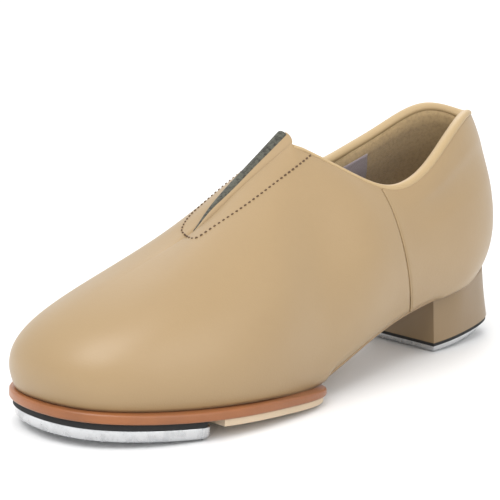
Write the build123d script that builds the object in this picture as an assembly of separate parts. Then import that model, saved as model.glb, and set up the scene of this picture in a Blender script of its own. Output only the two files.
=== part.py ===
from build123d import *

import math
import os

import numpy as np

# Slip-on split-sole tap shoe, left foot, in millimetres.
# Toe towards -Y, little-toe side +X, ground at Z = 0.
# The upper is one closed ring of ribs that runs round the foot, from the lower edge (the feather line)
# up to the opening. Every layer of the upper is a loft of thin closed loops that stand on those ribs.

# ---- leather, lining and stiffener thicknesses --------------------------------------------------
UPPER_T = 1.2
SKIVED_T = 0.6
GLUE = 0.12
STIFFENER_T = 0.9
LINING_T = 0.7
FOAM_T = 2.4
LABEL_T = 0.3
TAB_T = 0.8
ELASTIC_T = 0.8
BINDING_HALF_WIDTH = 2.3
BINDING_HALF_HEIGHT = 1.3

# ---- sole stack: levels of the forefoot sole before it is tipped by the toe spring ----------------
TIP_Y = -68.0
TOE_SPRING = 0.0667
TAP_REAR_Y = -73.0
TAP_TOP = 5.1
TAP_INSET = 2.6
TAP_CORNER_R = 5.0
TAP_EDGE_R = 2.2
SPACER_REAR_Y = -75.6
SPACER_TOP = 7.7
SPACER_INSET = 1.6
OUTSOLE_FRONT_Y = -70.5
OUTSOLE_BOTTOM = 4.8
OUTSOLE_INSET = 1.2
OUTSOLE_EDGE_R = 0.6
MIDSOLE_BOTTOM = SPACER_TOP
MIDSOLE_TOP = 11.6
MIDSOLE_TOP_R = 1.4
MIDSOLE_BOTTOM_R = 0.8
SHANK_SKIVE_Y = -50.0
SHANK_SKIVE_DEG = 1.9
FILLER_INSET = 13.0
FILLER_REAR_Y = -16.0
BOARD_INSET = 9.5
BOARD_REAR_Y = -14.0
FILLER_T = 1.0
BOARD_T = 1.7
SOCK_T = 1.4
ARCH_COVER_T = 1.4

# ---- heel, drawn level and then pitched up at the back about its front edge ------------------------
HEEL_PITCH_DEG = 4.0
HEEL_TAP_T = 3.2
HEEL_TAP_EDGE_R = 1.2
LIFT_TOP = 4.6
BREAST_Y = 75.0
HEEL_HALF_WIDTH = 21.6
HEEL_BACK_Y = 127.3
HEEL_TAP_FRONT_Y = 77.5
HEEL_TAP_HALF_WIDTH = 19.8
HEEL_TAP_BACK_Y = 124.0
HEEL_COVER_T = 1.0

# ---- arch flex: the shoe bends between the forefoot sole and the heel ------------------------------
FLEX_Y = 26.0
FLEX_Z = 15.0
FRONT_CUT_DEG = 14.4

# ---- side seam between vamp and quarter ------------------------------------------------------------
SEAM_Y = 46.5
SEAM_Z = 47.5
SEAM_LEAN_DEG = -13.5
SEAM_GAP = 0.3

# ---- tap screws and heel nails --------------------------------------------------------------------
SCREW_HEAD_R = 3.0
SCREW_HEAD_H = 1.8
SCREW_R = 1.3
SCREW_LENGTH = 8.5
NAIL_R = 0.9
NAIL_HEAD_R = 2.2

# Ribs of the upper, from the toe round by the little-toe side to the heel and back by the inside.
# Each rib is a cubic curve: feather point, two handles, point on the opening.
RIBS = (
    ((-7, -120, 15.5), (-7, -132.5, 44), (-3, -93, 51), (0, -45, 69.2)),
    ((17, -114.5, 15), (21, -125, 43), (9, -89, 52.5), (0.8, -42, 71.2)),
    ((34, -94, 13.6), (41, -100, 42), (19, -78, 58), (1.7, -35, 75.6)),
    ((42.5, -66, 11.8), (52, -67, 42), (24, -54, 66), (2.7, -24.5, 82.6)),
    ((43, -38, 9.6), (52.5, -38, 44), (27, -29, 74), (4.2, -10.5, 90.8)),
    ((37.5, -12, 7.6), (48.5, -10, 46), (23, -4, 82), (6.3, 3.5, 99.2)),
    ((33, 16, 14.3), (45, 18, 48), (36, 22, 72), (18.5, 20.9, 88.2)),
    ((28, 45, 21), (38, 47, 44), (34, 46, 62), (25.3, 41.4, 78.6)),
    ((25, 72, 24.6), (34.5, 73, 44), (30.5, 68, 64), (25.7, 62, 81.8)),
    ((22.5, 94, 26.6), (31.5, 99, 46), (26.5, 91, 70), (21.5, 82, 92.3)),
    ((13.5, 112, 28.3), (21.5, 123.5, 46), (17.3, 115.5, 74), (12.8, 104.8, 100.2)),
    ((0, 119.5, 29), (0, 134, 45), (0, 129, 74), (0, 117.5, 98)),
    ((-13.5, 112, 28.3), (-21.5, 123.5, 46), (-17.3, 115.5, 74), (-12.4, 104.8, 101.2)),
    ((-22.5, 94, 26.6), (-31.5, 99, 46), (-26.5, 91, 70), (-20.5, 84.5, 93)),
    ((-24, 72, 24.6), (-33.5, 73, 44), (-29.5, 68, 64), (-24.2, 64, 84.8)),
    ((-21, 45, 21), (-32, 47, 44), (-32, 46, 62), (-24.3, 43, 81)),
    ((-23, 16, 14.3), (-37, 18, 46), (-33, 22, 72), (-18.5, 21.5, 88.6)),
    ((-30, -12, 7.6), (-43, -10, 44), (-22, -4, 80), (-6.3, 3.5, 99.2)),
    ((-37.5, -38, 9.6), (-49, -38, 42), (-24, -29, 74), (-4.2, -10.5, 90.8)),
    ((-40.5, -68, 11.8), (-50, -68, 40), (-22, -54, 64.5), (-2.7, -24.5, 82.6)),
    ((-39, -95, 13.6), (-47, -101, 39.5), (-20, -78, 54.5), (-1.7, -35, 75.6)),
    ((-27, -114, 15), (-33, -124, 41.5), (-12, -90, 50.5), (-0.8, -42, 71.2)),
)
RIB_POINTS = np.array(RIBS, float)
STATIONS = len(RIBS)
THROAT = 5        # the rib that ends at the throat corner, beside the V-slit
HEEL = 11         # the rib up the back of the heel

# Crest of the gore along the middle of the V-slit, from its front end to its top: (y, z).
CREST = ((-46.5, 68.3), (-42, 71.8), (-35, 77.2), (-24.5, 83.9), (-10.8, 92.6), (3.2, 101.6))

# Plan of the forefoot sole, from the toe round by the little-toe side.
SOLE_PLAN = (
    (-5, -123.5), (20, -117.3), (38, -95.5), (46.4, -66.6), (46.5, -36), (40.5, -11),
    (20, -5.5), (-10, -5), (-33.5, -11), (-41, -36), (-44.5, -68), (-41, -97), (-28.5, -116.5),
)

# Lower edge of the upper in side view, from the forefoot to the back of the heel: (y, z).
ARCH_LINE = tuple((feather[1], feather[2]) for feather, *_ in RIBS[THROAT - 1:HEEL + 1]) + ((130, 29.8),)


# ---- the surface of the upper ----------------------------------------------------------------------
def spline_values(knots, place, closed):
    """Smooth (C2) curve through evenly numbered knots, read at a place between them."""
    count = len(knots)
    system = np.zeros((count, count))
    bend = np.zeros_like(knots)
    for i in range(count):
        if closed or 0 < i < count - 1:
            system[i, i] = 4
            system[i, (i + 1) % count] += 1
            system[i, i - 1] += 1
            bend[i] = 6 * (knots[(i + 1) % count] - 2 * knots[i] + knots[i - 1])
        else:
            system[i, i] = 1
    bend = np.linalg.solve(system, bend.reshape(count, -1)).reshape(knots.shape)
    low = int(math.floor(place)) % count if closed else min(int(place), count - 2)
    high = (low + 1) % count
    f = place % 1 if closed else place - low
    g = 1 - f
    return knots[low] * g + knots[high] * f - (bend[low] * (g - g ** 3) + bend[high] * (f - f ** 3)) / 6


def opening_point(t):
    """Point on the edge of the opening; it has a corner at the slit's end and at each throat corner."""
    for first, last in ((0, THROAT), (THROAT, STATIONS - THROAT), (STATIONS - THROAT, STATIONS)):
        if first <= t <= last:
            knots = np.array([RIB_POINTS[i % STATIONS, 3] for i in range(first, last + 1)])
            return spline_values(knots, t - first, closed=False)


def on_upper(t, w):
    """Point on the outside of the upper: t counts the ribs round the foot, w goes up from 0 to 1."""
    t = t % STATIONS
    low, handle, high = spline_values(RIB_POINTS[:, :3], t, closed=True)
    top = opening_point(t)
    v = 1 - w
    return v ** 3 * low + 3 * w * v * v * handle + 3 * w * w * v * high + w ** 3 * top


def outward(t, w):
    """Unit normal of the upper, pointing away from the foot."""
    step = 1e-3
    along = on_upper(t + step, w) - on_upper(t - step, w)
    up = on_upper(t, w + step) - on_upper(t, w - step)
    normal = np.cross(along, up)
    return normal / np.linalg.norm(normal)


def inside(t, w, depth):
    """Point at a depth below the outside of the upper."""
    return on_upper(t, w) - depth * outward(t, w)


def ease(x):
    """0 below 0, 1 above 1, and a smooth rise between."""
    x = min(max(x, 0.0), 1.0)
    return x * x * (3 - 2 * x)


def round_the_heel(t):
    """How many ribs a place is away from the toe, the same on both sides."""
    t = t % STATIONS
    return min(t, STATIONS - t)


# ---- building blocks -------------------------------------------------------------------------------
def vectors(points):
    return [Vector(*p) for p in points]


def flattened(points):
    """The points moved into their best plane, so that they can bound the flat end of a loft."""
    middle = points.mean(0)
    normal = np.linalg.svd(points - middle)[2][2]
    return points - np.outer((points - middle) @ normal, normal)


def strip_wire(outer, inner, flat):
    """Closed loop of a thin layer: up its outer face, across, and down its inner face."""
    both = np.vstack([outer, inner])
    if flat:
        both = flattened(both)
    up = vectors(both[:len(outer)])
    down = vectors(both[len(outer):])[::-1]
    return Wire([
        Edge.make_spline(up), Edge.make_line(up[-1], down[0]),
        Edge.make_spline(down), Edge.make_line(down[-1], up[0]),
    ])


def layer(first, last, bottom, top, outer, inner, per_rib=2, points=9):
    """Layer of the upper between two ribs; bottom, top and the two depths may vary with place."""
    count = max(int(round((last - first) * per_rib)), 4)
    wires = []
    for k in range(count + 1):
        t = first + (last - first) * k / count
        rows = np.linspace(bottom(t), top(t), points)
        outside = np.array([inside(t, w, outer(t, w)) for w in rows])
        inward = np.array([inside(t, w, inner(t, w)) for w in rows])
        wires.append(strip_wire(outside, inward, flat=k in (0, count)))
    return Solid.make_loft(wires)


def constant(value):
    return lambda *place: value


def one_side(shape, plane, keep):
    """Part of a shape on one side of a plane; the two sides of the shoe may come out as two solids."""
    pieces = []
    for whole in shape.solids():
        kept = whole.split(plane, keep=keep)
        pieces += kept if isinstance(kept, list) else [kept] if kept else []
    return pieces[0] if len(pieces) == 1 else Compound(pieces)


def front_of(shape, plane):
    return one_side(shape, plane, Keep.BOTTOM)


def behind(shape, plane):
    return one_side(shape, plane, Keep.TOP)


def cut_plane(y, z, lean, gap=0.0):
    """Cross plane through (y, z) whose upper part leans back by lean degrees; gap moves it back."""
    normal = Vector(0, math.cos(math.radians(lean)), -math.sin(math.radians(lean)))
    return Plane(origin=Vector(0, y, z) + normal * gap, z_dir=normal)


def closed_plan(points, z, inset=0.0):
    """Flat face inside a closed smooth outline, moved inwards by inset."""
    plan = np.array(points, float)
    along = np.roll(plan, -1, 0) - np.roll(plan, 1, 0)
    inward = np.stack([-along[:, 1], along[:, 0]], -1)
    plan = plan + inset * inward / np.linalg.norm(inward, axis=1)[:, None]
    edge = Edge.make_spline([Vector(x, y, z) for x, y in plan], periodic=True)
    return Face(Wire([edge]))


def feather_plan(inset, count=2 * STATIONS):
    """Outline of the upper's lower edge, seen from above, moved inwards."""
    places = [STATIONS * k / count for k in range(count)]
    return closed_plan([on_upper(t, 0)[:2] for t in places], 0.0, inset)


def column(face, height=140):
    return extrude(face, amount=height, dir=(0, 0, 1))


def y_slab(first, last):
    """Everything between two cross planes."""
    return Pos(0, (first + last) / 2, 60) * Box(200, last - first, 240)


def arch_band(low, high):
    """Sheet across the shoe that follows the lower edge of the upper, from low to high above it."""
    under = [Vector(0, y, z + low) for y, z in ARCH_LINE]
    over = [Vector(0, y, z + high) for y, z in ARCH_LINE][::-1]
    profile = Wire([
        Edge.make_spline(under), Edge.make_line(under[-1], over[0]),
        Edge.make_spline(over), Edge.make_line(over[-1], under[0]),
    ])
    return Pos(-80, 0, 0) * extrude(Face(profile), amount=160, dir=(1, 0, 0))


def tipped_about(y, degrees):
    """Turn about a cross line on the ground; positive degrees lift what is behind it."""
    return Pos(0, y, 0) * Rot(X=degrees) * Pos(0, -y, 0)


TOE_TIP = tipped_about(TIP_Y, -math.degrees(math.atan(TOE_SPRING)))
HEEL_TIP = tipped_about(BREAST_Y, HEEL_PITCH_DEG)


def sole_plate(low, high, inset, first=-200, last=200):
    """Level plate in the outline of the forefoot sole, before it is tipped."""
    face = closed_plan(SOLE_PLAN, low, inset)
    return extrude(face, amount=high - low, dir=(0, 0, 1)) & y_slab(first, last)


def round_corners(plate, y, radius):
    """Round the upright edges of a plate at its straight rear side."""
    rear = plate.edges().filter_by(lambda e: abs(e.center().Y - y) < 0.1)
    return fillet(rear.filter_by(lambda e: e.bounding_box().size.X < 1.0), radius)


def single(shape):
    """The one solid of a shape that a boolean or a placement has wrapped."""
    return max(shape.solids(), key=lambda s: s.volume)


# ---- upper -------------------------------------------------------------------------------------------
SEAM = cut_plane(SEAM_Y, SEAM_Z, SEAM_LEAN_DEG)
BEHIND_SEAM = cut_plane(SEAM_Y, SEAM_Z, SEAM_LEAN_DEG, SEAM_GAP)
FRONT_CUT = cut_plane(FLEX_Y, FLEX_Z, -FRONT_CUT_DEG)
EDGE_OF_BINDING = 0.978


def upper_top(t):
    """Top of the leather: raw along the V-slit, a little lower where the binding closes it."""
    return 1 - (1 - EDGE_OF_BINDING) * ease((round_the_heel(t) - THROAT) / 0.3)


def lining_top(t):
    """The lining stops short of the slit, where the gore is sewn in."""
    return 0.90 + (EDGE_OF_BINDING - 0.90) * ease((round_the_heel(t) - THROAT) / 0.5)


def upper_depth(t, w):
    """Thickness of the leather, skived along the V-slit."""
    beside_slit = 1 - ease(round_the_heel(t) - THROAT)
    return UPPER_T - (UPPER_T - SKIVED_T) * ease((w - 0.9) / 0.04) * beside_slit


def lining_depth(t, w):
    """Depth of the lining's outer face: behind the toe puff, the counter and the collar foam."""
    away = round_the_heel(t)
    stiff = max(1 - ease(away - 2.2), ease(away - 7.2))
    padded = ease(away - 6.4) * ease((w - 0.62) / 0.2) * ease((1.0 - w) / 0.06)
    return UPPER_T + 2 * GLUE + stiff * STIFFENER_T + padded * (FOAM_T - STIFFENER_T)


def lining_back(t, w):
    return lining_depth(t, w) + LINING_T


def make_upper():
    front, rear = (-7.5, 7.5), (6.2, STATIONS - 6.2)
    raw, sole_edge = constant(0.0), constant(0.0)
    vamp = layer(*front, sole_edge, upper_top, raw, upper_depth)
    quarter = layer(*rear, sole_edge, upper_top, raw, upper_depth)
    lining_front = layer(*front, sole_edge, lining_top, lining_depth, lining_back)
    lining_rear = layer(*rear, sole_edge, lining_top, lining_depth, lining_back)
    vamp = front_of(vamp, SEAM)
    lining_front = front_of(lining_front, SEAM)
    stiff_front = constant(UPPER_T + 2 * GLUE)
    stiff_back = constant(UPPER_T + STIFFENER_T)
    return {
        "vamp": front_of(vamp, FRONT_CUT),
        "vamp_waist": behind(vamp, FRONT_CUT),
        "heel_quarter": behind(quarter, BEHIND_SEAM),
        "vamp_lining": front_of(lining_front, FRONT_CUT),
        "waist_lining": behind(lining_front, FRONT_CUT),
        "quarter_lining": behind(lining_rear, BEHIND_SEAM),
        "toe_puff": layer(-2.0, 2.0, constant(0.05), constant(0.62), stiff_front, stiff_back),
        "heel_counter": layer(HEEL - 2.5, HEEL + 2.5, constant(0.03), constant(0.58),
                              stiff_front, stiff_back, per_rib=4),
    }


def make_collar():
    """Foam under the top edge of the rear upper, and the binding that closes the edge."""
    foam_front = UPPER_T + 2 * GLUE
    foam = layer(HEEL - 3.4, HEEL + 3.4, constant(0.84), constant(0.93),
                 constant(foam_front), constant(foam_front + FOAM_T - 1.0), points=5)
    binding = binding_roll()
    front_half = front_of(binding, SEAM)
    return {
        "collar_foam": foam,
        "heel_binding": behind(binding, BEHIND_SEAM),
        "waist_binding": behind(front_half, FRONT_CUT),
    }


def binding_roll():
    """Rounded leather roll along the edge of the opening, fatter round the heel."""
    wires = []
    ends = THROAT + 0.02
    count = 36
    for k in range(count + 1):
        t = ends + (STATIONS - 2 * ends) * k / count
        up = on_upper(t, 1.0) - on_upper(t, 0.97)
        up = up / np.linalg.norm(up)
        out = outward(t, 0.999)
        fat = 0.55 + 0.45 * ease((round_the_heel(t) - THROAT) / 3)
        half_width = BINDING_HALF_WIDTH * fat
        middle = on_upper(t, 1.0) - out * (half_width - 0.3) + up * 0.1
        ring = []
        for step in range(8):
            turn = math.tau * step / 8
            ring.append(middle + out * half_width * math.cos(turn)
                        + up * BINDING_HALF_HEIGHT * math.sin(turn))
        ring = np.array(ring)
        if k in (0, count):
            ring = flattened(ring)
        wires.append(Wire([Edge.make_spline(vectors(ring), periodic=True)]))
    return Solid.make_loft(wires)


def make_label():
    """Blank woven label sewn to the lining of the inside quarter."""
    def against_lining(t, w):
        return lining_back(t, w) + 0.05

    def free_side(t, w):
        return against_lining(t, w) + LABEL_T

    label = layer(13.55, 14.15, constant(0.76), constant(0.92), against_lining, free_side,
                  per_rib=8, points=5)
    return {"size_label": label}


# ---- gore: the elastic in the V-slit and the two leather tabs over it ---------------------------------
# Distance of each tab's edge from the middle of the slit: at the slit's front end, and at its top.
SLIT_END_LIP = 0.8
LATERAL_LIP = 1.1
MEDIAL_LIP = 2.4


def crest(t):
    """Middle of the slit at a rib, a little above the two leather edges."""
    y, z = spline_values(np.array(CREST, float), t, closed=False)
    return np.array([0.0, y, z])


def gore_section(t, side, overlap, lip, sink, thickness, points=6):
    """Two faces of a thin strip from under the vamp to near the middle of the slit, on one side."""
    place = side * t
    rows = np.linspace(1 - overlap, 1.0, points - 2)
    under = [inside(place, w, sink) for w in rows]
    edge = crest(t) + np.array([side * lip, 0, -sink * 0.25])
    half_way = (under[-1] + edge) / 2 + np.array([0.0, 0.0, 0.25])
    outer = np.array(under + [half_way, edge])
    inner = outer - thickness * outward(place, 0.985)
    return outer, inner


def make_gore():
    tab_depth = SKIVED_T + 2.5 * GLUE
    elastic_depth = tab_depth + TAB_T + 2 * GLUE
    places = np.linspace(0.7, THROAT - 0.02, 12)
    ends = (0, len(places) - 1)
    pieces = {}
    for name, side, lip in (("gore_tab_lateral", 1, LATERAL_LIP), ("gore_tab_medial", -1, MEDIAL_LIP)):
        wires = []
        for k, t in enumerate(places):
            reach = SLIT_END_LIP + (lip - SLIT_END_LIP) * ease(t / 3)
            outer, inner = gore_section(t, side, 0.05, reach, tab_depth, TAB_T)
            wires.append(strip_wire(outer, inner, flat=k in ends))
        pieces[name] = Solid.make_loft(wires)
    wires = []
    for k, t in enumerate(places):
        sides = [gore_section(t, side, 0.045, 0.0, elastic_depth, ELASTIC_T) for side in (1, -1)]
        outer, inner = (np.vstack([sides[0][i][:-1], sides[1][i][:-1][::-1]]) for i in (0, 1))
        wires.append(strip_wire(outer, inner, flat=k in ends))
    pieces["gore_elastic"] = Solid.make_loft(wires)
    return pieces


# Inside the lining all round: where the floor of the shoe stops.
FLOOR_INSET = UPPER_T + 2 * GLUE + LINING_T + STIFFENER_T + 1.2


# ---- soles -------------------------------------------------------------------------------------------
TOE_SCREWS = ((-22, -84), (18, -84), (-4, -110))
HEEL_SCREWS = ((-11, 90), (11, 90), (0, 112))


def screw(head_z=0.3):
    """Countersunk tap screw, head down, axis up."""
    cone = Pos(0, 0, head_z + SCREW_HEAD_H / 2) * Cone(SCREW_HEAD_R, SCREW_R, SCREW_HEAD_H)
    shank = Pos(0, 0, head_z + SCREW_LENGTH / 2) * Cylinder(SCREW_R, SCREW_LENGTH)
    slot = Pos(0, 0, head_z) * Box(0.9, 2 * SCREW_HEAD_R + 1, 1.2)
    return cone + shank - slot


def screw_hole(head_z=0.3, slack=0.05):
    """Room for a tap screw."""
    sink = Pos(0, 0, head_z + SCREW_HEAD_H / 2) * Cone(SCREW_HEAD_R + slack, SCREW_R + slack, SCREW_HEAD_H)
    mouth = Pos(0, 0, head_z / 2) * Cylinder(SCREW_HEAD_R + slack, head_z)
    bore = Pos(0, 0, (SCREW_LENGTH + 0.6) / 2) * Cylinder(SCREW_R + slack, SCREW_LENGTH + 0.6)
    return sink + mouth + bore


def at_each(places, shape):
    return [Pos(x, y, 0) * shape for x, y in places]


def softened(solid, z, radius):
    """Round the edges of a plate that lie at one height."""
    rim = solid.edges().filter_by(lambda e: abs(e.center().Z - z) < 1e-3 and e.length > 20)
    return fillet(rim, radius)


def make_forefoot_sole():
    holes = at_each(TOE_SCREWS, screw_hole())
    tap = round_corners(sole_plate(0, TAP_TOP, TAP_INSET, last=TAP_REAR_Y), TAP_REAR_Y, TAP_CORNER_R)
    tap = softened(tap, 0, TAP_EDGE_R)
    spacer = sole_plate(TAP_TOP, SPACER_TOP, SPACER_INSET, last=SPACER_REAR_Y)
    spacer = round_corners(spacer, SPACER_REAR_Y, TAP_CORNER_R)
    outsole = sole_plate(OUTSOLE_BOTTOM, MIDSOLE_BOTTOM, OUTSOLE_INSET, first=OUTSOLE_FRONT_Y)
    outsole = softened(outsole, OUTSOLE_BOTTOM, OUTSOLE_EDGE_R)
    midsole = softened(sole_plate(MIDSOLE_BOTTOM, MIDSOLE_TOP, 0), MIDSOLE_TOP, MIDSOLE_TOP_R)
    midsole = softened(midsole, MIDSOLE_BOTTOM, MIDSOLE_BOTTOM_R)
    skive = Pos(0, SHANK_SKIVE_Y, MIDSOLE_TOP) * Rot(X=-SHANK_SKIVE_DEG) * Pos(0, 50, 10) * Box(200, 100, 20)
    midsole = midsole - skive
    board_low = MIDSOLE_TOP + FILLER_T
    sock_low = board_low + BOARD_T + GLUE
    pieces = {
        "toe_tap": tap, "toe_tap_spacer": spacer, "outsole": outsole, "midsole": midsole,
        "forefoot_filler": sole_plate(MIDSOLE_TOP, board_low, FILLER_INSET, last=FILLER_REAR_Y),
        "forefoot_insole": sole_plate(board_low, board_low + BOARD_T, BOARD_INSET, last=BOARD_REAR_Y),
        "sock_liner_front": sole_plate(sock_low, sock_low + SOCK_T, BOARD_INSET, last=BOARD_REAR_Y),
    }
    for name in ("toe_tap", "toe_tap_spacer", "midsole"):
        for hole in holes:
            pieces[name] = pieces[name] - hole
    pieces = {name: TOE_TIP * single(piece) for name, piece in pieces.items()}
    pieces["toe_tap_screws"] = Compound([single(TOE_TIP * s) for s in at_each(TOE_SCREWS, screw())])
    return pieces


def make_arch():
    """Soft leather under the arch, and the sock liner above it."""
    cover = arch_band(-GLUE - ARCH_COVER_T, -GLUE) & column(feather_plan(0.2)) & y_slab(-3.5, BREAST_Y - 1.0)
    plan = column(feather_plan(FLOOR_INSET))
    sock = arch_band(GLUE, GLUE + SOCK_T) & plan & y_slab(-10, BREAST_Y - 1.0)
    return {"arch_cover": single(cover), "sock_liner_waist": single(sock)}


# ---- heel ----------------------------------------------------------------------------------------------
# Heel sections from the ground up: (z, breast y, half width, back y).
HEEL_SECTIONS = (
    (LIFT_TOP, BREAST_Y + 0.8, HEEL_HALF_WIDTH, HEEL_BACK_Y),
    (15, BREAST_Y + 0.9, 21.0, 125.4),
    (24, BREAST_Y + 1.3, 21.2, 123.4),
    (34, BREAST_Y + 1.6, 21.8, 122.6),
)
# Points of half a section, from the breast to the back: share of the half width, and distance from an end.
HEEL_SIDE = ((1.0, 0.0), (1.01, 14.0))
HEEL_ROUND = ((0.86, 18.0), (0.55, 5.0), (0.0, 0.0))
NAILS = ((-10, 84, 27.2), (10, 84, 27.2), (-9, 104, 29.2), (9, 104, 29.2))
NAIL_HEAD_T = 0.8
NAIL_LENGTH = 14.0


def heel_face(z, breast, half_width, back, inset=0.0):
    """D-shaped section of the heel: straight across the breast, round at the back."""
    half = [(share * half_width, breast + run) for share, run in HEEL_SIDE]
    half += [(share * half_width, back - run) for share, run in HEEL_ROUND]
    half = np.array(half)
    side = np.vstack([half, half[-2::-1] * (-1, 1)])
    along = np.gradient(side, axis=0)
    inward = np.stack([-along[:, 1], along[:, 0]], -1) / np.linalg.norm(along, axis=1)[:, None]
    side = side + inset * inward
    side[[0, -1], 1] = breast + inset
    side = [Vector(x, y, z) for x, y in side]
    return Face(Wire([Edge.make_spline(side), Edge.make_line(side[-1], side[0])]))


def heel_body(inset):
    return HEEL_TIP * loft([heel_face(*row, inset=inset) for row in HEEL_SECTIONS])


def heel_plate(low, high, front, half_width, back):
    """Level plate in the D-shape of the heel."""
    return extrude(heel_face(low, front, half_width, back), amount=high - low, dir=(0, 0, 1))


def nail(top_z):
    """Heel nail: flat head on the insole board, shank down into the block."""
    head = Pos(0, 0, top_z - NAIL_HEAD_T / 2) * Cylinder(NAIL_HEAD_R, NAIL_HEAD_T)
    return head + Pos(0, 0, top_z - NAIL_LENGTH / 2) * Cylinder(NAIL_R, NAIL_LENGTH)


def nail_hole(top_z, slack=0.05):
    """Room for a heel nail, with space over its head."""
    head = Pos(0, 0, top_z + 0.6) * Cylinder(NAIL_HEAD_R + slack, NAIL_HEAD_T + 2.1)
    return head + Pos(0, 0, top_z - NAIL_LENGTH / 2 - 0.1) * Cylinder(NAIL_R + slack, NAIL_LENGTH + 0.4)


def make_heel():
    below_seat = arch_band(-60, -0.4)
    core = heel_body(HEEL_COVER_T) & below_seat
    cover = (heel_body(0.0) & below_seat) - heel_body(HEEL_COVER_T)
    lift = heel_plate(HEEL_TAP_T, LIFT_TOP, BREAST_Y + 0.8, HEEL_HALF_WIDTH - 0.2, HEEL_BACK_Y - 0.3)
    tap = heel_plate(0, HEEL_TAP_T, HEEL_TAP_FRONT_Y, HEEL_TAP_HALF_WIDTH, HEEL_TAP_BACK_Y)
    tap = softened(tap, 0, HEEL_TAP_EDGE_R)
    lift, tap = HEEL_TIP * lift, HEEL_TIP * tap
    for hole in at_each(HEEL_SCREWS, screw_hole()):
        tap = tap - HEEL_TIP * hole
        lift = lift - HEEL_TIP * hole
        core = core - HEEL_TIP * hole
    plan = column(feather_plan(FLOOR_INSET))
    rear = y_slab(BREAST_Y - 0.6, 140)
    board = arch_band(0.0, BOARD_T) & plan & rear
    sock_low = BOARD_T + GLUE
    sock = arch_band(sock_low, sock_low + SOCK_T) & plan & rear
    nails = []
    for x, y, top in NAILS:
        nails.append(single(Pos(x, y, 0) * nail(top)))
        core = core - Pos(x, y, 0) * nail_hole(top)
        board = board - Pos(x, y, 0) * nail_hole(top)
    return {
        "heel_block": single(core), "heel_cover": single(cover), "heel_lift": single(lift),
        "heel_tap": single(tap), "heel_insole": single(board), "sock_liner_heel": single(sock),
        "heel_tap_screws": Compound([single(HEEL_TIP * s) for s in at_each(HEEL_SCREWS, screw())]),
        "heel_nails": Compound(nails),
    }


def main():
    pieces = {}
    for make in (make_upper, make_collar, make_label, make_gore, make_forefoot_sole, make_arch, make_heel):
        pieces.update(make())
    whole = Compound(list(pieces.values())).bounding_box()
    to_origin = Pos(-whole.center().X, -whole.center().Y, -whole.min.Z)
    print("origin shift", -whole.center().X, -whole.center().Y, -whole.min.Z, "size", whole.size)
    os.makedirs("parts", exist_ok=True)
    for name, piece in pieces.items():
        export_step(to_origin * piece, f"parts/{name}.step")


main()
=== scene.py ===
import math

import bpy
import numpy as np
from mathutils import Matrix, Vector


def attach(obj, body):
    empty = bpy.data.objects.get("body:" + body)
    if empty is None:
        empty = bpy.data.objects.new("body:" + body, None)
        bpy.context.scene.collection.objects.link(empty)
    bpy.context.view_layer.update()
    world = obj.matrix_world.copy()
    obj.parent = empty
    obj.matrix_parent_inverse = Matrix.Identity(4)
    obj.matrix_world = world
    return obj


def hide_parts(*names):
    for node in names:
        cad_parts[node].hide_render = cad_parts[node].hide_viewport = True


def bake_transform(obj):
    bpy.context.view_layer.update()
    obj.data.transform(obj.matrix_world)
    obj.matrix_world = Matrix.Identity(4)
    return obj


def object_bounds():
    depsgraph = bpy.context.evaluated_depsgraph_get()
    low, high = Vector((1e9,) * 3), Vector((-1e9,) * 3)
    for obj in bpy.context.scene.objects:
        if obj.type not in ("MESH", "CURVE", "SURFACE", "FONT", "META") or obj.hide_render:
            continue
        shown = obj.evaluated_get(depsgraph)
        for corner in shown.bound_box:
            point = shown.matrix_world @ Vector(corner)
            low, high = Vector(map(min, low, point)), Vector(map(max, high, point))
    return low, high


bl_info = {
    "name": "Tap shoe",
    "version": (1, 0, 0),
    "blender": (4, 5, 0),
    "location": "3D View > Sidebar > Tap shoe",
    "description": "Builds a slip-on leather tap shoe round its packed frame",
    "category": "Object",
}

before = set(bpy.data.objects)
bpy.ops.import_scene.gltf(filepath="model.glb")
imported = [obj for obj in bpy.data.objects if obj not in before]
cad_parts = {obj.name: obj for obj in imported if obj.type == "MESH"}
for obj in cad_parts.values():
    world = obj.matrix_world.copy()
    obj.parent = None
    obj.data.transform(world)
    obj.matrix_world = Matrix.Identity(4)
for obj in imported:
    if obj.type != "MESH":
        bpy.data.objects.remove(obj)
CAD_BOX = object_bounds()

MM = 0.001
# The shoe is drawn in the shoemaker's frame, in millimetres: toe towards -Y, little-toe side +X, ground at
# Z = 0 under the middle of the heel line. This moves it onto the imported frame's origin.
TO_ROW = np.array([-1.201, -2.607, -0.255])

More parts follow.
